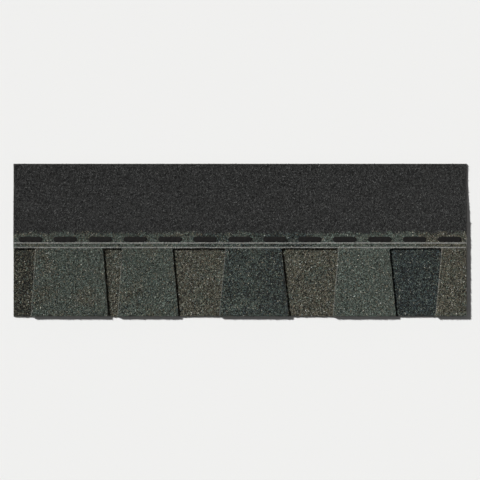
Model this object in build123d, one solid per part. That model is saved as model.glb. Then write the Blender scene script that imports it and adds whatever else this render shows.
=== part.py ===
from build123d import *
import math
import os
from collections import namedtuple

# One laminated asphalt roofing shingle, in millimetres.
# X runs along the shingle, Y up the roof slope and Z out of the roof.
# The origin is on the floor under the middle of the shingle, and the butt edge is at low Y.
# A height is measured from the butt edge up the slope, unless it is called a thickness.

# The whole shingle
shingle_length = 1000.0
shingle_height = 337.0
exposure = 143.0

# The two plies
overlay_thickness = 2.6
backing_thickness = 2.6
cutout_margin = 7.0
common_bond = 28.0

# Corners left by the die that cuts the teeth
tooth_tip_radius = 1.5
cutout_root_radius = 3.0
smallest_tooth = 20.0

# The adhesives stop this far short of the shingle's ends
end_margin = 12.0

# Laminating adhesive between the plies
glue_thickness = 0.4
glue_width = 9.0
glue_side_margin = 10.0
tooth_glue_rows = 3
bond_glue_rows = 2

# Self-seal dashes on the face, along the top of the common bond
sealant_thickness = 0.8
sealant_width = 12.0
sealant_dash = 52.0
least_sealant_space = 24.0
sealant_edge_gap = 2.0
sealant_bevel = 0.3

# Release tape on the back of the headlap
tape_thickness = 0.1
tape_width = 25.0
tape_gap = 10.0

# The limp headlap comes down off the backing ply and lies on the floor
bend_start_gap = 2.0
floor_strip = 27.0

# One turn of the cutting drum, from the left: the gap before each tooth and the tooth's width,
# both half way up the cutouts
first_gap = 44.0
first_tooth = 160.0
second_gap = 31.0
second_tooth = 123.0
third_gap = 103.0
third_tooth = 139.0
fourth_gap = 111.0
fourth_tooth = 126.0
fifth_gap = 101.0
fifth_tooth = 142.0

# Each side of a tooth leans outwards towards the butt edge, by these angles in degrees
Tooth = namedtuple("Tooth", "gap width left_lean right_lean")
drum = [
    Tooth(first_gap, first_tooth, left_lean=3.5, right_lean=4.4),
    Tooth(second_gap, second_tooth, left_lean=4.1, right_lean=5.0),
    Tooth(third_gap, third_tooth, left_lean=5.3, right_lean=6.5),
    Tooth(fourth_gap, fourth_tooth, left_lean=4.7, right_lean=5.7),
    Tooth(fifth_gap, fifth_tooth, left_lean=5.3, right_lean=4.9),
]

# Sizes that follow from these
cutout_depth = exposure + cutout_margin
backing_height = cutout_depth + common_bond
left_end = -shingle_length / 2
right_end = shingle_length / 2
butt_edge = -shingle_height / 2
overlay_underside = backing_thickness + glue_thickness
overlay_top = overlay_underside + overlay_thickness

# The bend is two equal and opposite arcs, whose radius is taken half way through the overlay
bend_start = backing_height + bend_start_gap
bend_end = shingle_height - floor_strip
bend_run = bend_end - bend_start
bend_radius = (bend_run**2 + overlay_underside**2) / (4 * overlay_underside)
bend_angle = math.asin(bend_run / (2 * bend_radius))
inner_radius = bend_radius - overlay_thickness / 2
outer_radius = bend_radius + overlay_thickness / 2

# A section across the shingle: its first axis is the height, its second the thickness
section = Plane(origin=(left_end, butt_edge, 0), x_dir=(0, 1, 0), z_dir=(1, 0, 0))


def side_at(middle, lean, height):
    """Where a tooth's side is at a height, from its place half way up the cutout."""
    return middle + (height - cutout_depth / 2) * math.tan(math.radians(lean))


def teeth_on_shingle():
    """Each tooth that the cutting drum leaves, as its left and right side half way up."""
    teeth = []
    along = left_end
    while True:
        for tooth in drum:
            left = along + tooth.gap
            if side_at(left, tooth.left_lean, cutout_depth) + smallest_tooth > right_end:
                return teeth
            along = left + tooth.width
            teeth.append((tooth, left, along))


def tooth_span(tooth, left, right, height):
    """The ends of a tooth at a height, clipped to the shingle's right end."""
    return (
        side_at(left, tooth.left_lean, height),
        min(side_at(right, -tooth.right_lean, height), right_end),
    )


def cutout_faces():
    """The gaps beside the teeth, drawn a little past the butt edge and past both ends."""
    overrun = 2 * cutout_root_radius
    low, high = -overrun, cutout_depth
    left_side = [(left_end - overrun, low), (left_end - overrun, high)]
    faces = []
    for tooth, left, right in teeth_on_shingle():
        right_side = [
            (side_at(left, tooth.left_lean, high), high),
            (side_at(left, tooth.left_lean, low), low),
        ]
        faces.append(gap_face(left_side + right_side))
        left_side = [
            (side_at(right, -tooth.right_lean, low), low),
            (side_at(right, -tooth.right_lean, high), high),
        ]
    if left_side[1][0] < right_end:
        beyond = right_end + overrun
        faces.append(gap_face(left_side + [(beyond, high), (beyond, low)]))
    return faces


def gap_face(corners):
    """A face in the shingle's plane, from corners given as a place along and a height."""
    points = [(along, butt_edge + height) for along, height in corners]
    return make_face(Polyline(*points, close=True))


def on_first_arc(radius, angle):
    """A point of the section on the arc that turns down off the backing ply."""
    centre_z = overlay_underside + overlay_thickness / 2 - bend_radius
    return (bend_start + radius * math.sin(angle), centre_z + radius * math.cos(angle))


def on_second_arc(radius, angle):
    """A point of the section on the arc that turns level on the floor."""
    centre_z = overlay_thickness / 2 + bend_radius
    return (bend_end - radius * math.sin(angle), centre_z - radius * math.cos(angle))


def overlay_section():
    """The overlay seen from its end: level on the backing, bent down, level on the floor."""
    half = bend_angle / 2
    outline = [
        Line((0, overlay_underside), (bend_start, overlay_underside)),
        ThreePointArc(*[on_first_arc(inner_radius, turn) for turn in (0, half, bend_angle)]),
        ThreePointArc(*[on_second_arc(outer_radius, turn) for turn in (bend_angle, half, 0)]),
        Line((bend_end, 0), (shingle_height, 0)),
        Line((shingle_height, 0), (shingle_height, overlay_thickness)),
        Line((shingle_height, overlay_thickness), (bend_end, overlay_thickness)),
        ThreePointArc(*[on_second_arc(inner_radius, turn) for turn in (0, half, bend_angle)]),
        ThreePointArc(*[on_first_arc(outer_radius, turn) for turn in (bend_angle, half, 0)]),
        Line((bend_start, overlay_top), (0, overlay_top)),
        Line((0, overlay_top), (0, overlay_underside)),
    ]
    return make_face(outline)


def corners_at(solid, height):
    """The upright edges of the die-cut corners at one height, without the shingle's ends."""
    upright = solid.edges().filter_by(Axis.Z)
    near = upright.filter_by_position(Axis.Y, butt_edge + height - 0.01, butt_edge + height + 0.01)
    return near.filter_by_position(Axis.X, left_end + 0.01, right_end - 0.01)


def overlay_ply():
    """The full-height face ply, with its raised teeth and the headlap that bends down."""
    sheet = extrude(section * overlay_section(), amount=shingle_length)
    for face in cutout_faces():
        sheet -= extrude(face, amount=overlay_top + overlay_thickness)
    sheet = fillet(corners_at(sheet, 0), tooth_tip_radius)
    return fillet(corners_at(sheet, cutout_depth), cutout_root_radius)


def backing_ply():
    """The strip under the teeth and the common bond, which shows in the gaps."""
    corner = Location((left_end, butt_edge, 0))
    align = (Align.MIN, Align.MIN, Align.MIN)
    return corner * Box(shingle_length, backing_height, backing_thickness, align=align)


def bead(left, right, height, base, width, thickness):
    """A flat bead with round ends that runs along the shingle."""
    place = Location(((left + right) / 2, butt_edge + height, base))
    return extrude(place * SlotOverall(right - left, width), amount=thickness)


def laminating_adhesive():
    """Rows of adhesive under each tooth, and full-length rows along the common bond."""
    beads = []
    row_pitch = cutout_depth / tooth_glue_rows
    for row in range(tooth_glue_rows):
        height = row_pitch * (row + 0.5)
        for tooth, left, right in teeth_on_shingle():
            span = tooth_span(tooth, left, right, height + glue_width / 2)
            start, stop = span[0] + glue_side_margin, span[1] - glue_side_margin
            if stop - start > 2 * glue_width:
                beads.append(bead(start, stop, height, backing_thickness, glue_width, glue_thickness))
    row_pitch = common_bond / bond_glue_rows
    for row in range(bond_glue_rows):
        height = cutout_depth + row_pitch * (row + 0.5)
        start, stop = left_end + end_margin, right_end - end_margin
        beads.append(bead(start, stop, height, backing_thickness, glue_width, glue_thickness))
    return Compound(children=beads)


def sealant_strip():
    """The dashes of tacky sealant that hold down the next course."""
    first_start = left_end + end_margin
    last_start = right_end - end_margin - sealant_dash
    steps = int((last_start - first_start) // (sealant_dash + least_sealant_space))
    height = backing_height - sealant_edge_gap - sealant_width / 2
    dashes = []
    for step in range(steps + 1):
        start = first_start + (last_start - first_start) * step / steps
        dash = bead(start, start + sealant_dash, height, overlay_top, sealant_width, sealant_thickness)
        top_edges = dash.faces().sort_by(Axis.Z)[-1].edges()
        dashes.append(chamfer(top_edges, sealant_bevel))
    return Compound(children=dashes)


def release_tape():
    """The film on the back of the headlap, which follows the first arc of the bend."""
    start = tape_gap / inner_radius
    stop = (tape_gap + tape_width) / inner_radius
    half = (start + stop) / 2
    film_radius = inner_radius - tape_thickness
    outline = [
        ThreePointArc(*[on_first_arc(inner_radius, turn) for turn in (start, half, stop)]),
        Line(on_first_arc(inner_radius, stop), on_first_arc(film_radius, stop)),
        ThreePointArc(*[on_first_arc(film_radius, turn) for turn in (stop, half, start)]),
        Line(on_first_arc(film_radius, start), on_first_arc(inner_radius, start)),
    ]
    return extrude(section * make_face(outline), amount=shingle_length)


pieces = {
    "overlay_ply": overlay_ply(),
    "backing_ply": backing_ply(),
    "laminating_adhesive": laminating_adhesive(),
    "sealant_strip": sealant_strip(),
    "release_tape": release_tape(),
}

os.makedirs("parts", exist_ok=True)
for name, piece in pieces.items():
    piece.label = name
    export_step(piece, f"parts/{name}.step")
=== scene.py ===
import math
from collections import namedtuple

import bpy
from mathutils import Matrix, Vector, noise


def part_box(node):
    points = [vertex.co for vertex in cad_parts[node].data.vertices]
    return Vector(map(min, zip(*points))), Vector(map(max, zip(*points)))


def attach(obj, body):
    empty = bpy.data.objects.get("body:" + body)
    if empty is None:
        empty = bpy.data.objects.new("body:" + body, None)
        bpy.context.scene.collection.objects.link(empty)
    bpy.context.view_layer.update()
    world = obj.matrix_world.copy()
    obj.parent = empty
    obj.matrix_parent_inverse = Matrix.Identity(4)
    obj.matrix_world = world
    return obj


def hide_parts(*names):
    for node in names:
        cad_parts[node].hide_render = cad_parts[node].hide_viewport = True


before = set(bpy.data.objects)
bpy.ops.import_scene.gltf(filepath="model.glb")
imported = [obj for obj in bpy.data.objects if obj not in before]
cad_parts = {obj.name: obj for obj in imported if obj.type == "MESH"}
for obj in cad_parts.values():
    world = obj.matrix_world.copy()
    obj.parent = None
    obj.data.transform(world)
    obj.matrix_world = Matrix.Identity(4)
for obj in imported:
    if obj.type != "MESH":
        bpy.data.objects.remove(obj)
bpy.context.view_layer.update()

# A laminated asphalt shingle, in metres. X runs along it, Y up the roof slope, Z out of the roof.
overlay_low, overlay_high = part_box("overlay_ply")
backing_low, backing_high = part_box("backing_ply")
sealant_low, sealant_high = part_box("sealant_strip")
tape_low, tape_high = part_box("release_tape")
left_end = overlay_low.x
right_end = overlay_high.x
butt_edge = overlay_low.y
top_edge = overlay_high.y
shingle_length = right_end - left_end
ply_thickness = backing_high.z
overlay_top = sealant_low.z
overlay_underside = overlay_top - ply_thickness

# The axes by number
x_axis = 0
y_axis = 1

# Where the limp headlap comes down off the backing and lies on the floor
bend_start = backing_high.y + 0.002
bend_end = top_edge - 0.027

# The plies aren't quite flat. A ply's layer number gives it ripples and patches of its own.
overlay_layer = 1
backing_layer = 2
ripple_height = 0.00016
ripple_length = 0.11

# The cutting die leaves a slightly rough outline and a rounded top edge
cut_roughness = 0.00013
edge_rounding = 0.0014

# The order of a ply's materials
face_slot = 0
back_slot = 1
edge_slot = 2

# The weather faces are cut into cells of about this size, which carry the colour blends. What is
# narrower than a sliver is merged.
cell = 0.0051
sliver = cell / 20

# In the frame's mesh, places this near to each other are one place, and faces that meet at less
# than this angle are one face
same_place = 0.00001
same_face = math.radians(0.1)

# The Z of a normal, above which a face counts as flat, as a top, or as flat enough for granules
flat_normal = 0.999
top_normal = 0.9
granule_normal = 0.8

# Coarse granules: their spacing, how many places are tried for them, how many of them the headlap
# keeps, and the smallest and largest
granule_spacing = 0.00131
candidates_per_square_metre = 3.0e6
headlap_cover = 0.88
face_granules = (0.0011, 0.0024)
headlap_granules = (0.0011, 0.0022)

# A granule's share of the way from the smallest to the largest is a random number to this power,
# so most are small
size_power = 1.6

# The stones that granules are picked from, one unit across, and how far their corners are moved
# at random
face_stones = ("wedge", "four-sided", "three-sided", "wedge", "four-sided", "three-sided")
headlap_stones = ("chip", "chip", "chip")
stone_chipping = 0.17

# Anything this close above a place keeps granules off it
covered_height = 0.01

# The granules' own UV map has this name. Each granule has a square of its own there, and
# this share of the square is left free on each side.
bake_map = "OFBake"
square_margin = 0.07

# Lighter and darker clumps, a few granules across
clump_size = 0.0045

# Sealant dashes. Each is cut into slices, its top steps in and up, and its outline wobbles.
sealant_dash = 0.052
dash_count = 13
dash_slices = 10
dash_steps = ((0.0010, 0.00010), (0.0018, 0.00012))
dash_wobble = 0.0003

# Release film, and how far it lies below the headlap's back
film_thickness = 0.0001
film_gap = 0.00002

# Painted nail lines. Away from a line's middle the paint fades between two shares of its width.
# It covers some places thinly and others well.
nail_lines = (butt_edge + 0.152, butt_edge + 0.162)
nail_line_width = 0.003
nail_line_fade = (0.38, 0.55)
nail_line_wander = 0.0012
nail_line_cover = (0.25, 0.9)
nail_line_colour = (0.34, 0.34, 0.32, 1)

# What the granules are made in, as linear colours: each has two shades
granule_colours = {
    "coal": ((0.011, 0.011, 0.012), (0.020, 0.018, 0.016)),
    "green": ((0.094, 0.131, 0.112), (0.120, 0.135, 0.112)),
    "sage": ((0.104, 0.137, 0.120), (0.124, 0.138, 0.116)),
    "brown": ((0.135, 0.110, 0.081), (0.113, 0.123, 0.088)),
    "blue": ((0.050, 0.070, 0.080), (0.068, 0.086, 0.080)),
    "pale": ((0.320, 0.302, 0.246), (0.255, 0.269, 0.255)),
    "slag": ((0.024, 0.024, 0.025), (0.034, 0.033, 0.031)),
    "grey": ((0.084, 0.084, 0.080), (0.060, 0.062, 0.062)),
}

# How many of each hundred granules in a blend are of each colour
green_blend = {"coal": 14, "green": 45, "sage": 16, "brown": 15, "blue": 6, "pale": 4}
light_blend = {"coal": 10, "green": 36, "sage": 33, "brown": 12, "blue": 4, "pale": 5}
brown_blend = {"coal": 22, "green": 10, "brown": 58, "blue": 1, "pale": 9}
dark_blend = {"coal": 53, "green": 10, "brown": 34, "blue": 2, "pale": 1}
slate_blend = {"coal": 33, "green": 34, "brown": 7, "blue": 24, "pale": 2}
deep_blend = {"coal": 41, "green": 22, "brown": 6, "blue": 29, "pale": 2}
ink_blend = {"coal": 42, "green": 16, "brown": 1, "blue": 39, "pale": 2}
headlap_blend = {"slag": 45, "grey": 55}
blend_colours = ("coal", "green", "sage", "brown", "blue", "pale")
headlap_colours = ("slag", "grey")

# The blends are dropped on the moving sheet one after another. Each starts this far from the
# left end, and has patches of another blend in it.
Drop = namedtuple("Drop", "start blend patches")
overlay_drops = (
    Drop(0.000, green_blend, brown_blend),
    Drop(0.410, slate_blend, green_blend),
    Drop(0.550, deep_blend, slate_blend),
    Drop(0.660, light_blend, green_blend),
    Drop(0.890, brown_blend, green_blend),
)
backing_drops = (
    Drop(0.000, dark_blend, brown_blend),
    Drop(0.110, brown_blend, green_blend),
    Drop(0.790, ink_blend, deep_blend),
)

# They run into each other over this length, along a border that wanders this far
drop_fade = 0.030
drop_raggedness = 0.016

# A patch is at most this much of the other blend. It begins at the first noise value and is whole
# at the second.
patch_length = 0.050
patch_strength = 0.55
patch_noise = (0.05, 0.5)

# The colour blends reach this far up the overlay, and plain headlap granules follow, across a
# ragged border
headlap_start = butt_edge + 0.184
headlap_fade = 0.006
headlap_raggedness = 0.004
headlap_ragged_length = 0.020

# Each use of the noise reads slices of its own, so that none follows another
wander_slice = 0.3
small_wander_slice = 0.6
headlap_slice = 7.5
slices_per_metre = 9

# Asphalt and the mineral on or in it, as linear colours
back_colours = ((0.022, 0.021, 0.020, 1), (0.120, 0.116, 0.108, 1))
edge_colours = ((0.026, 0.026, 0.024, 1), (0.098, 0.094, 0.084, 1))
bead_colours = ((0.010, 0.0095, 0.009, 1), (0.045, 0.043, 0.040, 1))
glass_mat_colour = (0.150, 0.145, 0.130, 1)
film_colours = ((0.070, 0.070, 0.068, 1), (0.100, 0.100, 0.098, 1))

# The darkest and lightest that a stone, its grain and a clump make a colour, as numbers round 1
stone_tones = (0.45, 1.55)
grain_tones = (0.85, 1.15)
clump_tones = (0.70, 1.30)

# The same for a fine granule in the bed, for the third of them that is dark, and for the way from
# its middle to the dark line round it, which is partly asphalt and partly painted shade between
# granules
bed_tones = (0.7, 1.8)
dark_third = (0.30, 0.40)
dark_tones = (0.30, 1.0)
outline_span = (0.20, 0.65)
outline_asphalt_and_shade_tones = (1.0, 0.35)

# Some fine granules stand out further than others, by up to this share of the bed's relief
bed_unevenness = 0.8

# The glass mat's line in a cut edge fades between two shares of the thickness from its middle,
# and shows this strongly
mat_fade = (0.02, 0.10)
mat_strength = 0.5

# Roughness of all that is dull, of asphalt with mineral on it, and of the film, each from its
# smoothest to its roughest places
dull_roughness = (0.75, 0.95)
mineral_roughness = (0.55, 0.95)
film_roughness = (0.08, 0.2)

# How strongly each finish mirrors, where 0.5 is plain plastic
granule_specular = 0.15
dust_specular = 0.2
asphalt_specular = 0.12
film_specular = 0.5

# How much of the asphalt its mineral covers, from 0 to 1
back_cover = 0.55
edge_cover = 0.52
bead_cover = 0.12

# The size of what lies in each finish
fine_granule = 0.0009
back_sand = 0.0009
edge_filler = 0.0008
sealant_dust = 0.0007
adhesive_dust = 0.0012

# How far the relief of each finish stands out
bed_relief = 0.0007
back_relief = 0.0002
edge_relief = 0.0004
asphalt_relief = 0.0012
film_relief = 0.0003

# Noise scales, in waves to a metre, the film's along each axis. The broad drifts of mineral count
# this much beside its fine noise.
stone_grain = 1900.0
paint_waves = 260.0
paint_speckles = 800.0
dust_drifts = 60.0
drift_strength = 0.35
asphalt_smears = 140.0
film_streaks = (8, 300, 300)

# The numbers that nearly all of a noise lies between, and the part of it that each use takes
noise_range = (0.3, 0.7)
clump_noise = (0.32, 0.68)
paint_noise = (0.38, 0.5)
mineral_noise = (0.52, 0.82)
streak_noise = (0.35, 0.65)

# Floor, light and camera. The room is pale below the horizon's band and dim above it.
floor_size = 80
floor_colour = (0.80, 0.80, 0.79, 1)
horizon_band = (0.12, 0.26)
room_levels = (0.80, 0.08)
sun_elevation = math.radians(23)
sun_across = Vector((4, -3, 0))
sun_energy = 7.9
sun_size = math.radians(5)
lens = 100
sensor_width = 36
picture_margin = 0.03


# Selecting and shaping


def deselect_all():
    """Leaves nothing selected, the frame's own parts included."""
    bpy.ops.object.select_all(action="DESELECT")


def make_active(piece):
    """Selects one piece alone, so that operators act on it."""
    deselect_all()
    piece.select_set(True)
    bpy.context.view_layer.objects.active = piece


def name_piece(name):
    """Names the active object and its mesh."""
    piece = bpy.context.object
    piece.name = name
    piece.data.name = name
    return piece


def select_faces(piece, wanted):
    """In edit mode, selects the faces for which wanted(face) is true."""
    bpy.ops.mesh.select_mode(type="FACE")
    bpy.ops.mesh.select_all(action="DESELECT")
    bpy.ops.object.mode_set(mode="OBJECT")
    for face in piece.data.polygons:
        face.select = wanted(face)
    bpy.ops.object.mode_set(mode="EDIT")


def select_corners(piece, wanted):
    """Goes to edit mode with the corners selected for which wanted(corner) is true."""
    make_active(piece)
    bpy.ops.object.mode_set(mode="EDIT")
    bpy.ops.mesh.select_mode(type="VERT")
    bpy.ops.mesh.select_all(action="DESELECT")
    bpy.ops.object.mode_set(mode="OBJECT")
    for corner in piece.data.vertices:
        corner.select = wanted(corner)
    bpy.ops.object.mode_set(mode="EDIT")


def select_edges(piece, wanted):
    """In edit mode, selects the edges for which wanted(first corner, second corner) is true."""
    bpy.ops.mesh.select_mode(type="EDGE")
    bpy.ops.mesh.select_all(action="DESELECT")
    bpy.ops.object.mode_set(mode="OBJECT")
    corners = piece.data.vertices
    for edge in piece.data.edges:
        first, second = (corners[index] for index in edge.vertices)
        edge.select = wanted(first, second)
    bpy.ops.object.mode_set(mode="EDIT")


def apply_place(piece):
    """Puts the piece's place into its mesh, and leaves the object at the origin."""
    make_active(piece)
    bpy.ops.object.transform_apply(location=True, rotation=True, scale=True)


def drop_at(height):
    """How far the overlay has come down at a height: two equal and opposite arcs."""
    run = bend_end - bend_start
    radius = (run**2 + overlay_underside**2) / (4 * overlay_underside)
    along = min(max(height - bend_start, 0), run)
    if along < run / 2:
        return radius - math.sqrt(radius**2 - along**2)
    return overlay_underside - radius + math.sqrt(radius**2 - (run - along) ** 2)


def ripple_at(place, layer):
    """How far a ply stands off level at a place."""
    wave = noise.noise(Vector((place.x, place.y, layer * ripple_length)) / ripple_length)
    return ripple_height * (1 + wave) / 2


def lay_down(piece, layer, bends):
    """Gives a flat piece the ply's ripples, and the overlay's bend if it goes with the overlay."""
    for corner in piece.data.vertices:
        lift = ripple_at(corner.co, layer)
        if bends:
            lift -= drop_at(corner.co.y)
        corner.co.z += lift


def cell_lines(start, stop):
    """The places that divide the way between two others into cells."""
    count = round((stop - start) / cell)
    return [start + (stop - start) * step / count for step in range(1, count)]


def cut_across(axis, places):
    """In edit mode, cuts straight through all that isn't hidden at these places along an axis."""
    across = Vector((0, 0, 0))
    across[axis] = 1
    for place in places:
        bpy.ops.mesh.select_all(action="SELECT")
        bpy.ops.mesh.bisect(plane_co=across * place, plane_no=across)


def cut_into_cells(piece):
    """Cuts all of a sheet across the bend, and its weather face into square cells."""
    make_active(piece)
    bpy.ops.object.mode_set(mode="EDIT")
    cut_across(y_axis, [bend_start] + cell_lines(bend_start, top_edge))
    select_faces(piece, lambda face: face.material_index == face_slot)
    bpy.ops.mesh.hide(unselected=True)
    cut_across(y_axis, cell_lines(butt_edge, bend_start))
    cut_across(x_axis, cell_lines(left_end, right_end))
    bpy.ops.mesh.select_all(action="SELECT")
    bpy.ops.mesh.remove_doubles(threshold=sliver)
    bpy.ops.mesh.reveal()
    bpy.ops.object.mode_set(mode="OBJECT")


def roughen_cut_edges(piece, seed):
    """Divides a flat blank's outline by the cells, and moves it a little, as the die leaves it."""
    cut_into_cells(piece)
    bpy.ops.object.mode_set(mode="EDIT")
    bpy.ops.mesh.select_mode(type="EDGE")
    bpy.ops.mesh.select_all(action="DESELECT")
    bpy.ops.mesh.select_non_manifold()
    bpy.ops.mesh.remove_doubles(threshold=edge_rounding)
    bpy.ops.transform.vertex_random(offset=cut_roughness, uniform=0, seed=seed)
    bpy.ops.mesh.select_all(action="SELECT")
    bpy.ops.mesh.dissolve_faces()
    bpy.ops.object.mode_set(mode="OBJECT")


def add_wall(piece, thickness, back=0, rim=0):
    """Thickens a flat piece downwards. Its back and rim get these materials."""
    make_active(piece)
    wall = piece.modifiers.new("thickness", "SOLIDIFY")
    wall.thickness = thickness
    wall.offset = -1
    wall.material_offset = back
    wall.material_offset_rim = rim
    bpy.ops.object.modifier_apply(modifier=wall.name)


def thicken(piece):
    """Gives a flat blank its thickness downwards, a plain back and a rounded top to its edges."""
    top = max(corner.co.z for corner in piece.data.vertices)
    add_wall(piece, ply_thickness, back_slot, edge_slot)

    bpy.ops.object.mode_set(mode="EDIT")
    select_faces(piece, lambda face: face.material_index == edge_slot)
    bpy.ops.mesh.region_to_loop()
    bpy.ops.object.mode_set(mode="OBJECT")
    rims = {frozenset(edge.vertices) for edge in piece.data.edges if edge.select}
    bpy.ops.object.mode_set(mode="EDIT")

    def on_top_rim(first, second):
        near_top = min(first.co.z, second.co.z) > top - ply_thickness / 2
        return near_top and {first.index, second.index} in rims

    select_edges(piece, on_top_rim)
    bpy.ops.mesh.bevel(offset=edge_rounding, segments=2, material=edge_slot)
    bpy.ops.object.mode_set(mode="OBJECT")


# The two plies


def overlay_blank():
    """The overlay's weather face, cut to the frame's own outline and still flat."""
    piece = bpy.data.objects.new("overlay_sheet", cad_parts["overlay_ply"].data.copy())
    bpy.context.scene.collection.objects.link(piece)
    piece.data.name = piece.name
    make_active(piece)
    bpy.ops.object.mode_set(mode="EDIT")
    bpy.ops.mesh.select_all(action="SELECT")
    bpy.ops.mesh.remove_doubles(threshold=same_place)

    def off_the_flat(face):
        level = abs(face.center.z - overlay_top) < same_place and face.normal.z > flat_normal
        return not (level and face.center.y < bend_start)

    select_faces(piece, off_the_flat)
    bpy.ops.mesh.delete(type="FACE")
    bpy.ops.mesh.select_all(action="SELECT")
    bpy.ops.mesh.dissolve_limited(angle_limit=same_face)

    def at_the_bend(first, second):
        return min(first.co.y, second.co.y) > bend_start - same_place

    # The headlap is drawn out flat, and laid down later
    select_edges(piece, at_the_bend)
    headlap = (0, top_edge - bend_start, 0)
    bpy.ops.mesh.extrude_region_move(TRANSFORM_OT_translate={"value": headlap})
    bpy.ops.object.mode_set(mode="OBJECT")
    return piece


def backing_blank():
    """The backing's weather face, a plain strip."""
    deselect_all()
    middle = (backing_low + backing_high) / 2
    middle.z = backing_high.z
    size = backing_high - backing_low
    bpy.ops.mesh.primitive_plane_add(size=1, calc_uvs=False, location=middle)
    bpy.ops.transform.resize(value=(size.x, size.y, 1))
    piece = name_piece("backing_sheet")
    apply_place(piece)
    return piece


# Colour blends


def shares_of(blend):
    """A blend's share of each granule colour, from 0 to 1, in the order of granule_colours."""
    total = sum(blend.values())
    return [blend.get(colour, 0) / total for colour in granule_colours]


def mixed(first, second, amount):
    """Two lists of shares mixed, from all of the first at 0 to all of the second at 1."""
    return [a + (b - a) * amount for a, b in zip(first, second)]


def smooth_step(value, low, high):
    """0 below low, 1 above high, and a smooth rise between them."""
    share = min(max((value - low) / (high - low), 0), 1)
    return share * share * (3 - 2 * share)


def patchiness(place, length, noise_slice):
    """Smooth noise from -1 to 1 over the sheet, with patches about this long."""
    return noise.noise(Vector((place.x / length, place.y / length, noise_slice)))


def blend_at(place, drops, layer):
    """The shares of each granule colour at a place on a ply."""
    wander = drop_raggedness * patchiness(place, patch_length / 2, layer + wander_slice)
    small_wander = patchiness(place, patch_length / 6, layer + small_wander_slice)
    wander += drop_raggedness / 2 * small_wander
    along = place.x - left_end + wander
    shares = None
    for drop in drops:
        patch = patchiness(place, patch_length, layer + drop.start * slices_per_metre)
        amount = patch_strength * smooth_step(patch, *patch_noise)
        own = mixed(shares_of(drop.blend), shares_of(drop.patches), amount)
        if shares is None:
            shares = own
        else:
            start = drop.start - drop_fade / 2
            shares = mixed(shares, own, smooth_step(along, start, start + drop_fade))
    return shares


def headlap_share(place):
    """0 on the colour blends and 1 on the headlap, with a ragged border."""
    ragged = headlap_raggedness * patchiness(place, headlap_ragged_length, headlap_slice)
    half = headlap_fade / 2
    return smooth_step(place.y + ragged, headlap_start - half, headlap_start + half)


def store(mesh, name, kind, part, values):
    """Stores a value for each corner of a mesh under a name."""
    attribute = mesh.attributes.new(name, kind, "POINT")
    attribute.data.foreach_set(part, values)


def paint_blends(piece, drops, layer):
    """Stores each corner's colour blend, bed colour, cover of granules and depth in the sheet.

    The blend is kept as limits from 0 to 1: a granule whose random number lies between the limits
    n and n + 1 is of the colour n.
    """
    top = max(corner.co.z for corner in piece.data.vertices)
    limits = [[0.0] * len(piece.data.vertices) for _ in range(len(granule_colours) + 1)]
    cover = []
    bed = []
    depths = []
    for index, corner in enumerate(piece.data.vertices):
        plain = headlap_share(corner.co)
        shares = mixed(blend_at(corner.co, drops, layer), shares_of(headlap_blend), plain)
        colour = Vector((0, 0, 0))
        for number, (share, shades) in enumerate(zip(shares, granule_colours.values())):
            limits[number + 1][index] = limits[number][index] + share
            colour += share * (Vector(shades[0]) + Vector(shades[1])) / 2
        cover.append(1 + (headlap_cover - 1) * plain)
        bed.extend((*colour, 1))
        depths.append((top - corner.co.z) / ply_thickness)
    for number, values in enumerate(limits):
        store(piece.data, f"granules_{number}", "FLOAT", "value", values)
    store(piece.data, "granule_cover", "FLOAT", "value", cover)
    store(piece.data, "bed_colour", "FLOAT_COLOR", "color", bed)
    store(piece.data, "depth", "FLOAT", "value", depths)


# Node trees


def add_node(tree, kind, inputs=None, **options):
    """Adds a node with these options, and sets or links each input named or numbered.

    Where several sockets of a node share a name, they go by number.
    """
    node = tree.nodes.new(kind)
    for option, value in options.items():
        setattr(node, option, value)
    for key, value in (inputs or {}).items():
        if isinstance(value, bpy.types.NodeSocket):
            tree.links.new(value, node.inputs[key])
        else:
            node.inputs[key].default_value = value
    return node


def new_tree(name, kind, inputs, outputs):
    """A node tree with named inputs and outputs, and the sockets that carry what it is given."""
    tree = bpy.data.node_groups.new(name, kind)
    for direction, sockets in (("INPUT", inputs), ("OUTPUT", outputs)):
        for label, socket in sockets.items():
            socket_type = f"NodeSocket{socket}"
            tree.interface.new_socket(name=label, in_out=direction, socket_type=socket_type)
    return tree, tree.nodes.new("NodeGroupInput").outputs


def math_node(tree, operation, *values):
    """The result of one sum on numbers or sockets."""
    return add_node(tree, "ShaderNodeMath", dict(enumerate(values)), operation=operation).outputs[0]


def product(tree, first, *others):
    """Several numbers or sockets multiplied."""
    for other in others:
        first = math_node(tree, "MULTIPLY", first, other)
    return first


def vector_node(tree, operation, inputs):
    """The result of one sum on vectors or colours."""
    return add_node(tree, "ShaderNodeVectorMath", inputs, operation=operation).outputs[0]


# Granules


def granule_shapes(name, kinds):
    """Shapes of crushed stone about one unit across, in a collection of their own."""
    shapes = bpy.data.collections.new(name)
    for number, kind in enumerate(kinds):
        deselect_all()
        if kind == "wedge":
            bpy.ops.mesh.primitive_cone_add(vertices=3, radius1=0.62, radius2=0.36, depth=0.62)
        elif kind == "chip":
            bpy.ops.mesh.primitive_cone_add(vertices=3, radius1=0.66, radius2=0, depth=0.86)
        else:
            sides = 3 if kind == "three-sided" else 4
            bpy.ops.mesh.primitive_uv_sphere_add(segments=sides, ring_count=3, radius=0.56)
        shape = name_piece(f"{name}_{number}")
        bpy.ops.object.mode_set(mode="EDIT")
        bpy.ops.mesh.select_all(action="SELECT")
        bpy.ops.transform.vertex_random(offset=stone_chipping, uniform=0.5, seed=number + 1)
        bpy.ops.mesh.normals_make_consistent(inside=False)
        bpy.ops.uv.smart_project(angle_limit=math.radians(60), island_margin=0.03)
        bpy.ops.object.mode_set(mode="OBJECT")
        shape.data.uv_layers[0].name = bake_map
        for home in shape.users_collection:
            home.objects.unlink(shape)
        shapes.objects.link(shape)
    return shapes


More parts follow.
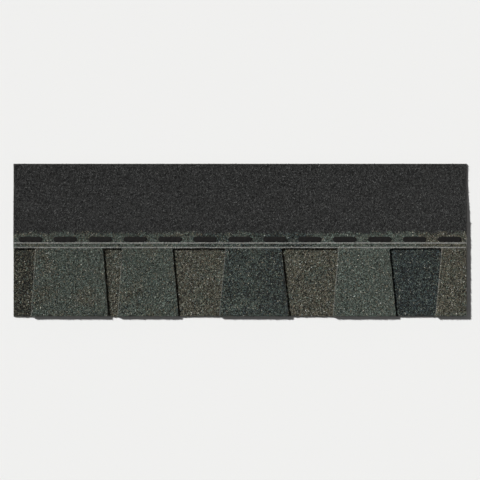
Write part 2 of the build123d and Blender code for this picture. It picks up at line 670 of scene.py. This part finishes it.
# The least, the most and the result of a Random Value node for each kind of value
random_sockets = {"FLOAT_VECTOR": (0, 1, 0), "FLOAT": (2, 3, 1), "INT": (4, 5, 2)}


def random_value(tree, seed, kind="FLOAT", least=0.0, most=1.0):
    """A random value between two others, another one for each point or instance."""
    low, high, result = random_sockets[kind]
    inputs = {low: least, high: most, "Seed": seed}
    return add_node(tree, "FunctionNodeRandomValue", inputs, data_type=kind).outputs[result]


def compare_node(tree, operation, first, second):
    """Whether two numbers stand to each other as the operation says."""
    options = {"data_type": "FLOAT", "operation": operation}
    return add_node(tree, "FunctionNodeCompare", {0: first, 1: second}, **options).outputs[0]


def attribute_node(tree, name, kind="FLOAT"):
    """A value that is stored on the mesh under this name."""
    inputs = {"Name": name}
    return add_node(tree, "GeometryNodeInputNamedAttribute", inputs, data_type=kind).outputs[0]


def store_node(tree, geometry, name, value, kind="FLOAT", domain="INSTANCE"):
    """The geometry with a value stored on it under this name."""
    inputs = {"Geometry": geometry, "Name": name, "Value": value}
    options = {"data_type": kind, "domain": domain}
    return add_node(tree, "GeometryNodeStoreNamedAttribute", inputs, **options).outputs[0]


def spots_tree():
    """Spreads evenly spaced spots for granules over a weather face, where nothing covers it."""
    inputs = {"Geometry": "Geometry", "Cover": "Object", "Seed": "Int"}
    tree, given = new_tree("granule_spots", "GeometryNodeTree", inputs, {"Geometry": "Geometry"})
    normal = tree.nodes.new("GeometryNodeInputNormal").outputs[0]
    upwards = add_node(tree, "ShaderNodeSeparateXYZ", {0: normal}).outputs["Z"]
    spots = add_node(
        tree,
        "GeometryNodeDistributePointsOnFaces",
        {
            "Mesh": given["Geometry"],
            "Selection": compare_node(tree, "GREATER_THAN", upwards, granule_normal),
            "Distance Min": granule_spacing,
            "Density Max": candidates_per_square_metre,
            "Density Factor": attribute_node(tree, "granule_cover"),
            "Seed": given["Seed"],
        },
        distribute_method="POISSON",
    )
    lying_on = add_node(tree, "GeometryNodeObjectInfo", {"Object": given["Cover"]})
    above = add_node(
        tree,
        "GeometryNodeRaycast",
        {
            "Target Geometry": lying_on.outputs["Geometry"],
            "Ray Direction": (0, 0, 1),
            "Ray Length": covered_height,
        },
    )
    uncovered = add_node(
        tree,
        "GeometryNodeDeleteGeometry",
        {"Geometry": spots.outputs["Points"], "Selection": above.outputs["Is Hit"]},
        domain="POINT",
    )
    corners = add_node(tree, "GeometryNodePointsToVertices", {0: uncovered.outputs[0]})
    add_node(tree, "NodeGroupOutput", {0: corners.outputs[0]})
    return tree


def map_square(tree, count):
    """Each granule's own map, moved into a square of its own on a map that all of them share."""
    side = math_node(tree, "CEIL", math_node(tree, "SQRT", count))
    number = attribute_node(tree, "granule_number")
    rows_before = math_node(tree, "DIVIDE", math_node(tree, "ADD", number, 0.5), side)
    row = math_node(tree, "FLOOR", rows_before)
    column = math_node(tree, "SUBTRACT", number, product(tree, row, side))
    square = add_node(tree, "ShaderNodeCombineXYZ", {0: column, 1: row}).outputs[0]
    own_map = attribute_node(tree, bake_map, "FLOAT_VECTOR")
    filled = 1 - 2 * square_margin
    inset = {0: own_map, 1: (filled, filled, 0), 2: (square_margin, square_margin, 0)}
    placed = vector_node(tree, "ADD", {0: vector_node(tree, "MULTIPLY_ADD", inset), 1: square})
    square_side = math_node(tree, "DIVIDE", 1.0, side)
    return vector_node(tree, "SCALE", {0: placed, "Scale": square_side})


def granules_tree():
    """Sets a stone on each spot that one colour's share of the blend gives it."""
    inputs = {
        "Geometry": "Geometry",
        "Shapes": "Collection",
        "From": "String",
        "To": "String",
        "Smallest": "Float",
        "Largest": "Float",
    }
    outputs = {"Geometry": "Geometry"}
    tree, given = new_tree("granules_on_spots", "GeometryNodeTree", inputs, outputs)
    pick = random_value(tree, seed=11)
    enough = compare_node(tree, "GREATER_EQUAL", pick, attribute_node(tree, given["From"]))
    not_past = compare_node(tree, "LESS_THAN", pick, attribute_node(tree, given["To"]))
    both = {0: enough, 1: not_past}
    chosen = add_node(tree, "FunctionNodeBooleanMath", both, operation="AND").outputs[0]
    shapes = add_node(
        tree,
        "GeometryNodeCollectionInfo",
        {"Collection": given["Shapes"], "Separate Children": True, "Reset Children": True},
    ).outputs[0]

    # A number past the last shape starts again at the first
    which = random_value(tree, 12, "INT", 0, len(face_stones) - 1)
    full_turn = (math.tau, math.tau, math.tau)
    angles = random_value(tree, 13, "FLOAT_VECTOR", (0, 0, 0), full_turn)
    turn = add_node(tree, "FunctionNodeEulerToRotation", {0: angles}).outputs[0]
    share = math_node(tree, "POWER", random_value(tree, seed=14), size_power)
    growth = math_node(tree, "SUBTRACT", given["Largest"], given["Smallest"])
    size = math_node(tree, "MULTIPLY_ADD", share, growth, given["Smallest"])
    stones = add_node(
        tree,
        "GeometryNodeInstanceOnPoints",
        {
            "Points": given["Geometry"],
            "Selection": chosen,
            "Instance": shapes,
            "Pick Instance": True,
            "Instance Index": which,
            "Rotation": turn,
            "Scale": size,
        },
    ).outputs[0]
    stones = store_node(tree, stones, "granule_tone", random_value(tree, seed=15))
    stones = store_node(tree, stones, "granule_shade", random_value(tree, seed=16))
    index = tree.nodes.new("GeometryNodeInputIndex").outputs[0]
    stones = store_node(tree, stones, "granule_number", index)
    counted = add_node(tree, "GeometryNodeAttributeDomainSize", {0: stones}, component="INSTANCES")
    square = map_square(tree, counted.outputs["Instance Count"])
    realized = add_node(tree, "GeometryNodeRealizeInstances", {0: stones}).outputs[0]
    mapped = store_node(tree, realized, bake_map, square, "FLOAT2", "CORNER")
    add_node(tree, "NodeGroupOutput", {0: mapped})
    return tree


def apply_tree(piece, tree, **given):
    """Runs geometry nodes on a piece with these inputs and applies them."""
    make_active(piece)
    modifier = piece.modifiers.new(tree.name, "NODES")
    modifier.node_group = tree
    for socket in tree.interface.items_tree:
        if socket.name in given:
            modifier[socket.identifier] = given[socket.name]
    bpy.ops.object.modifier_apply(modifier=modifier.name)


def duplicate(piece, name):
    """A copy of a piece with its own mesh."""
    make_active(piece)
    bpy.ops.object.duplicate()
    return name_piece(name)


def forget_blend(mesh):
    """Takes off what only placed the granules."""
    helpers = ("granule_cover", "granule_number", "bed_colour", "depth", "id")
    for name in [attribute.name for attribute in mesh.attributes]:
        if name.startswith("granules_") or name in helpers:
            mesh.attributes.remove(mesh.attributes[name])


def scatter_granules(ply, colours, cover, seed):
    """All the granules on a ply's weather face, one piece for each of these colours."""
    spots = duplicate(ply, "granule_spots")
    apply_tree(spots, granule_spots, Cover=cover, Seed=seed)
    side = ply.name.split("_")[0]
    for colour in colours:
        number = list(granule_colours).index(colour)
        on_headlap = colour in headlap_blend
        smallest, largest = headlap_granules if on_headlap else face_granules
        piece = duplicate(spots, f"{side}_{colour}_granules")
        apply_tree(
            piece,
            granules_on_spots,
            Shapes=headlap_shapes if on_headlap else face_shapes,
            From=f"granules_{number}",
            To=f"granules_{number + 1}",
            Smallest=smallest,
            Largest=largest,
        )
        forget_blend(piece.data)
        piece.data.materials.clear()
        piece.data.materials.append(granule_material(f"{side}_{colour}", granule_colours[colour]))
        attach(piece, "root")
    bpy.data.objects.remove(spots)


# What the finishes are made of


def new_material(name):
    """A material, its node tree and its Principled BSDF."""
    material = bpy.data.materials.new(name)
    material.use_nodes = True
    return material, material.node_tree, material.node_tree.nodes["Principled BSDF"]


def group_node(tree, group, inputs):
    """A node group placed in a material with its own values."""
    return add_node(tree, "ShaderNodeGroup", inputs, node_tree=group)


def object_place(tree):
    """The place in the object, in metres."""
    return tree.nodes.new("ShaderNodeTexCoord").outputs["Object"]


def stored_value(tree, name, output="Fac"):
    """What the mesh stores under this name."""
    return add_node(tree, "ShaderNodeAttribute", attribute_name=name).outputs[output]


def noise_texture(tree, place, scale, detail):
    """Smooth noise with this many waves to a unit, and finer ones up to this detail."""
    inputs = {"Vector": place, "Scale": scale, "Detail": detail}
    return add_node(tree, "ShaderNodeTexNoise", inputs).outputs[0]


def map_range(tree, value, low, high, to_low, to_high):
    """A number moved from one range to another, and kept within it."""
    inputs = {0: value, 1: low, 2: high, 3: to_low, 4: to_high}
    return add_node(tree, "ShaderNodeMapRange", inputs).outputs[0]


def mix_colours(tree, share, first, second):
    """Two colours mixed, from the first at 0 to the second at 1."""
    inputs = {0: share, 6: first, 7: second}
    return add_node(tree, "ShaderNodeMix", inputs, data_type="RGBA").outputs[2]


def toned(tree, colour, tone):
    """A colour made darker or lighter by a number round 1."""
    return vector_node(tree, "SCALE", {0: colour, "Scale": tone})


def clumps(tree, place):
    """Lighter and darker clumps of granules, a few together, as a number round 1."""
    level = noise_texture(tree, place, 1 / clump_size, 1.0)
    return map_range(tree, level, *clump_noise, *clump_tones)


def stone_group():
    """The ceramic-coated stone of a granule: its shade and tone, its clump and a fine grain."""
    inputs = {
        "Place": "Vector",
        "First Shade": "Color",
        "Second Shade": "Color",
        "Shade": "Float",
        "Tone": "Float",
    }
    outputs = {"Colour": "Color", "Roughness": "Float"}
    tree, given = new_tree("granule_stone", "ShaderNodeTree", inputs, outputs)
    place = given["Place"]
    grain = noise_texture(tree, place, stone_grain, 2.0)
    colour = mix_colours(tree, given["Shade"], given["First Shade"], given["Second Shade"])
    own_tone = map_range(tree, given["Tone"], 0.0, 1.0, *stone_tones)
    grain_tone = map_range(tree, grain, *noise_range, *grain_tones)
    tone = product(tree, own_tone, grain_tone, clumps(tree, place))
    roughness = map_range(tree, grain, *noise_range, *dull_roughness)
    add_node(tree, "NodeGroupOutput", {0: toned(tree, colour, tone), 1: roughness})
    return tree


def bed_group():
    """Fine granules pressed in asphalt: a tone each, a line of asphalt and painted shade round it,
    a domed top.
    """
    inputs = {"Place": "Vector", "Colour": "Color", "Size": "Float"}
    outputs = {"Colour": "Color", "Roughness": "Float", "Height": "Float"}
    tree, given = new_tree("granule_bed", "ShaderNodeTree", inputs, outputs)
    place = given["Place"]
    scale = math_node(tree, "DIVIDE", 1.0, given["Size"])
    cells = add_node(tree, "ShaderNodeTexVoronoi", {"Vector": place, "Scale": scale})
    from_middle = cells.outputs["Distance"]
    picked = add_node(tree, "ShaderNodeSeparateColor", {0: cells.outputs["Color"]}).outputs
    dark_or_not = map_range(tree, picked[0], *dark_third, *dark_tones)
    own_tone = map_range(tree, picked[2], 0.0, 1.0, *bed_tones)
    # Darker towards each fine granule's edge: partly the asphalt between granules, partly painted
    # shade in the crevices
    outline = map_range(tree, from_middle, *outline_span, *outline_asphalt_and_shade_tones)
    tone = product(tree, dark_or_not, own_tone, outline, clumps(tree, place))
    colour = toned(tree, given["Colour"], tone)
    dome = math_node(tree, "SUBTRACT", 1.0, from_middle)
    height = math_node(tree, "MULTIPLY_ADD", picked[1], bed_unevenness, dome)
    roughness = map_range(tree, picked[2], 0.0, 1.0, *dull_roughness)
    add_node(tree, "NodeGroupOutput", {0: colour, 1: roughness, 2: height})
    return tree


def paint_group():
    """The painted nail lines: thin paint that misses the low spots between granules."""
    inputs = {"Place": "Vector", "Colour": "Color"}
    tree, given = new_tree("nail_line_paint", "ShaderNodeTree", inputs, {"Colour": "Color"})
    place = given["Place"]
    wander = noise_texture(tree, place, paint_waves, 3.0)
    height = add_node(tree, "ShaderNodeSeparateXYZ", {0: place}).outputs["Y"]
    height = math_node(tree, "SUBTRACT", height, nail_line_wander / 2)
    height = math_node(tree, "MULTIPLY_ADD", wander, nail_line_wander, height)
    nearest = None
    for line in nail_lines:
        away = math_node(tree, "ABSOLUTE", math_node(tree, "SUBTRACT", height, line))
        nearest = away if nearest is None else math_node(tree, "MINIMUM", nearest, away)
    whole, gone = (nail_line_width * share for share in nail_line_fade)
    inside = map_range(tree, nearest, whole, gone, 1.0, 0.0)
    speckle = noise_texture(tree, place, paint_speckles, 2.0)
    taken = map_range(tree, speckle, *paint_noise, *nail_line_cover)
    share = product(tree, inside, taken)
    colour = mix_colours(tree, share, given["Colour"], nail_line_colour)
    add_node(tree, "NodeGroupOutput", {0: colour})
    return tree


def mineral_group():
    """Mineral dust and filler in asphalt, as on the back and in the cut edges."""
    inputs = {
        "Place": "Vector",
        "Asphalt": "Color",
        "Mineral": "Color",
        "Cover": "Float",
        "Size": "Float",
    }
    outputs = {"Colour": "Color", "Roughness": "Float", "Height": "Float"}
    tree, given = new_tree("mineral_dust", "ShaderNodeTree", inputs, outputs)
    scale = math_node(tree, "DIVIDE", 1.0, given["Size"])
    fine = noise_texture(tree, given["Place"], scale, 4.0)
    broad = noise_texture(tree, given["Place"], dust_drifts, 3.0)
    level = math_node(tree, "MULTIPLY_ADD", broad, drift_strength, fine)
    level = math_node(tree, "ADD", level, math_node(tree, "SUBTRACT", given["Cover"], 0.5))
    share = map_range(tree, level, *mineral_noise, 0.0, 1.0)
    colour = mix_colours(tree, share, given["Asphalt"], given["Mineral"])
    roughness = map_range(tree, share, 0.0, 1.0, *mineral_roughness)
    add_node(tree, "NodeGroupOutput", {0: colour, 1: roughness, 2: fine})
    return tree


# Finishes


def set_finish(tree, shader, colour, roughness, specular):
    """Gives a shader a colour and roughness that change over the surface, and a plain specular."""
    tree.links.new(colour, shader.inputs["Base Color"])
    tree.links.new(roughness, shader.inputs["Roughness"])
    shader.inputs["Specular IOR Level"].default_value = specular


def add_relief(tree, shader, height, distance):
    """Lets the surface stand out by a height times a distance in metres."""
    inputs = {"Height": height, "Distance": distance, "Strength": 1.0}
    bump = add_node(tree, "ShaderNodeBump", inputs)
    tree.links.new(bump.outputs[0], shader.inputs["Normal"])


def nail_lines_over(tree, place, colour):
    """A weather face's colour with the painted nail lines over it."""
    paint = group_node(tree, nail_line_paint, {"Place": place, "Colour": colour})
    return paint.outputs["Colour"]


def dust_node(tree, colours, cover, size):
    """Mineral of this size over this much of the asphalt."""
    asphalt, mineral = colours
    inputs = {
        "Place": object_place(tree),
        "Asphalt": asphalt,
        "Mineral": mineral,
        "Cover": cover,
        "Size": size,
    }
    return group_node(tree, mineral_dust, inputs)


def granule_material(name, shades):
    """Granules of one colour."""
    material, tree, shader = new_material(name)
    place = object_place(tree)
    first, second = shades
    inputs = {
        "Place": place,
        "First Shade": (*first, 1),
        "Second Shade": (*second, 1),
        "Shade": stored_value(tree, "granule_shade"),
        "Tone": stored_value(tree, "granule_tone"),
    }
    stone = group_node(tree, granule_stone, inputs)
    colour = nail_lines_over(tree, place, stone.outputs["Colour"])
    set_finish(tree, shader, colour, stone.outputs["Roughness"], granule_specular)
    return material


def bed_material(name):
    """The weather face of a ply between the coarse granules."""
    material, tree, shader = new_material(name)
    place = object_place(tree)
    blend = stored_value(tree, "bed_colour", "Color")
    bed = group_node(tree, granule_bed, {"Place": place, "Colour": blend, "Size": fine_granule})
    colour = nail_lines_over(tree, place, bed.outputs["Colour"])
    set_finish(tree, shader, colour, bed.outputs["Roughness"], granule_specular)
    add_relief(tree, shader, bed.outputs["Height"], bed_relief)
    return material


def back_material():
    """The back of a ply: asphalt under fine sand and talc."""
    material, tree, shader = new_material("sanded_back")
    dust = dust_node(tree, back_colours, back_cover, back_sand)
    set_finish(tree, shader, dust.outputs["Colour"], dust.outputs["Roughness"], dust_specular)
    add_relief(tree, shader, dust.outputs["Height"], back_relief)
    return material


def edge_material():
    """A cut edge: filled asphalt, with the glass mat as a paler line half way through."""
    material, tree, shader = new_material("cut_edge")
    dust = dust_node(tree, edge_colours, edge_cover, edge_filler)
    half_way = 0.5
    depth = stored_value(tree, "depth")
    away = math_node(tree, "ABSOLUTE", math_node(tree, "SUBTRACT", depth, half_way))
    mat = map_range(tree, away, *mat_fade, mat_strength, 0.0)
    colour = mix_colours(tree, mat, dust.outputs["Colour"], glass_mat_colour)
    set_finish(tree, shader, colour, dust.outputs["Roughness"], dust_specular)
    add_relief(tree, shader, dust.outputs["Height"], edge_relief)
    return material


def asphalt_material(name, dust_size):
    """Soft black asphalt with a dull shine and a few specks of dust."""
    material, tree, shader = new_material(name)
    dust = dust_node(tree, bead_colours, bead_cover, dust_size)
    smears = noise_texture(tree, object_place(tree), asphalt_smears, 3.0)
    roughness = map_range(tree, smears, *noise_range, *dull_roughness)
    set_finish(tree, shader, dust.outputs["Colour"], roughness, asphalt_specular)
    add_relief(tree, shader, smears, asphalt_relief)
    return material


def film_material():
    """Clear release film over the sanded back, with streaks along it."""
    material, tree, shader = new_material("release_film")
    stretch = {"Vector": object_place(tree), "Scale": film_streaks}
    stretched = add_node(tree, "ShaderNodeMapping", stretch).outputs[0]
    streaks = noise_texture(tree, stretched, 1.0, 3.0)
    share = map_range(tree, streaks, *streak_noise, 0.0, 1.0)
    roughness = map_range(tree, share, 0.0, 1.0, *film_roughness)
    set_finish(tree, shader, mix_colours(tree, share, *film_colours), roughness, film_specular)
    add_relief(tree, shader, streaks, film_relief)
    return material


# Sealant and film


def dash_starts():
    """Where each dash of sealant begins, evenly along the shingle."""
    last = sealant_high.x - sealant_dash
    return [
        sealant_low.x + (last - sealant_low.x) * number / (dash_count - 1)
        for number in range(dash_count)
    ]


def sealant_beads():
    """The row of sealant dashes, as plain flat beads with round ends."""
    width = sealant_high.y - sealant_low.y
    height = sealant_high.z - sealant_low.z
    middle_y = (sealant_low.y + sealant_high.y) / 2
    beads = []
    for start in dash_starts():
        deselect_all()
        bpy.ops.mesh.primitive_cylinder_add(
            vertices=24,
            radius=width / 2,
            depth=height,
            location=(start + sealant_dash / 2, middle_y, overlay_top + height / 2),
        )
        bead = name_piece("bead")

        # Both halves of the round are moved apart, to the ends of the dash
        for side in (-1, 1):
            select_corners(bead, lambda corner: corner.co.x * side > same_place)
            bpy.ops.transform.translate(value=(side * (sealant_dash - width) / 2, 0, 0))
            bpy.ops.object.mode_set(mode="OBJECT")
        beads.append(bead)
    return beads


def shape_bead(bead, seed):
    """Rounds a bead's top and gives its outline the wobble of soft asphalt."""
    make_active(bead)
    bpy.ops.object.mode_set(mode="EDIT")
    bpy.ops.mesh.select_mode(type="FACE")
    left = bead.location.x - sealant_dash / 2
    cut_across(x_axis, [left + sealant_dash * step / dash_slices for step in range(1, dash_slices)])
    select_faces(bead, lambda face: face.normal.z > top_normal)
    for inset, rise in dash_steps:
        bpy.ops.mesh.inset(thickness=inset)
        bpy.ops.transform.translate(value=(0, 0, rise))
    bpy.ops.mesh.select_all(action="SELECT")
    bpy.ops.transform.vertex_random(offset=dash_wobble, seed=seed)
    bpy.ops.object.mode_set(mode="OBJECT")
    smoothing = bead.modifiers.new("rounding", "SUBSURF")
    smoothing.levels = 1
    smoothing.render_levels = 1
    bpy.ops.object.modifier_apply(modifier=smoothing.name)
    bpy.ops.object.shade_smooth()
    apply_place(bead)


def film_strip():
    """The release film on the back of the headlap, a thin strip, flat until laid down with the
    overlay.
    """
    deselect_all()
    size = tape_high - tape_low
    middle = (tape_low + tape_high) / 2
    middle.z = overlay_underside - film_gap
    bpy.ops.mesh.primitive_grid_add(x_subdivisions=200, y_subdivisions=5, size=1, location=middle)
    bpy.ops.transform.resize(value=(size.x, size.y, 1))
    piece = name_piece("release_film")
    apply_place(piece)
    piece.data.materials.append(film_material())
    add_wall(piece, film_thickness)
    return piece


# Putting it together

granule_stone = stone_group()
granule_bed = bed_group()
nail_line_paint = paint_group()
mineral_dust = mineral_group()
sanded_back = back_material()
cut_edge = edge_material()

overlay = overlay_blank()
backing = backing_blank()
plies = ((overlay, overlay_drops, overlay_layer), (backing, backing_drops, backing_layer))
for ply, drops, layer in plies:
    ply.data.materials.clear()
    for material in (bed_material(f"{ply.name}_face"), sanded_back, cut_edge):
        ply.data.materials.append(material)
    roughen_cut_edges(ply, seed=layer)
    thicken(ply)
    cut_into_cells(ply)
    paint_blends(ply, drops, layer)
    lay_down(ply, layer, bends=layer == overlay_layer)
    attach(ply, "root")
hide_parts("overlay_ply")
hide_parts("backing_ply")

beads = sealant_beads()
for number, bead in enumerate(beads):
    shape_bead(bead, seed=number + 1)
    lay_down(bead, overlay_layer, bends=False)
make_active(beads[0])
for bead in beads:
    bead.select_set(True)
bpy.ops.object.join()
dashes = name_piece("sealant_dashes")
dashes.data.materials.append(asphalt_material("sealant", sealant_dust))
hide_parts("sealant_strip")
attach(dashes, "root")

film = film_strip()
lay_down(film, overlay_layer, bends=True)
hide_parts("release_tape")
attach(film, "root")

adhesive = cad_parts["laminating_adhesive"]
adhesive.data.materials.clear()
adhesive.data.materials.append(asphalt_material("bonding_asphalt", adhesive_dust))

face_shapes = granule_shapes("face_stones", face_stones)
headlap_shapes = granule_shapes("headlap_stones", headlap_stones)
granule_spots = spots_tree()
granules_on_spots = granules_tree()
overlay_colours = blend_colours + headlap_colours
scatter_granules(overlay, overlay_colours, dashes, overlay_layer)
scatter_granules(backing, blend_colours, overlay, backing_layer)


# Floor, light and camera


def floor():
    """A plain pale floor that reaches the horizon."""
    deselect_all()
    bpy.ops.mesh.primitive_plane_add(size=floor_size, location=(0, 0, 0))
    piece = name_piece("floor")
    material, _, shader = new_material("floor")
    shader.inputs["Base Color"].default_value = floor_colour
    shader.inputs["Roughness"].default_value = 1.0
    shader.inputs["Specular IOR Level"].default_value = 0.0
    piece.data.materials.append(material)


def sun_light():
    """One low key light from the upper left, as a soft sun."""
    across = sun_across.normalized() * math.cos(sun_elevation)
    direction = across - Vector((0, 0, math.sin(sun_elevation)))
    lamp = bpy.data.lights.new("key", "SUN")
    lamp.energy = sun_energy
    lamp.angle = sun_size
    key = bpy.data.objects.new("key", lamp)
    key.rotation_euler = direction.to_track_quat("-Z", "Y").to_euler()
    bpy.context.scene.collection.objects.link(key)


def studio_world():
    """A dim room with a pale band round the horizon."""
    world = bpy.data.worlds.new("studio")
    world.use_nodes = True
    tree = world.node_tree
    background = tree.nodes["Background"]
    direction = tree.nodes.new("ShaderNodeTexCoord").outputs["Generated"]
    height = add_node(tree, "ShaderNodeSeparateXYZ", {0: direction}).outputs["Z"]
    level = map_range(tree, height, *horizon_band, *room_levels)
    tree.links.new(level, background.inputs["Color"])
    bpy.context.scene.world = world


def overhead_camera():
    """A long lens straight above the shingle, with the butt edge at the bottom of the picture."""
    view_width = shingle_length + 2 * picture_margin
    camera = bpy.data.cameras.new("camera")
    camera.lens = lens
    camera.sensor_width = sensor_width
    eye = bpy.data.objects.new("camera", camera)
    eye.location = (0, 0, view_width * lens / sensor_width)
    bpy.context.scene.collection.objects.link(eye)
    bpy.context.scene.camera = eye


floor()
sun_light()
studio_world()
overhead_camera()
bpy.context.scene.view_settings.view_transform = "Standard"
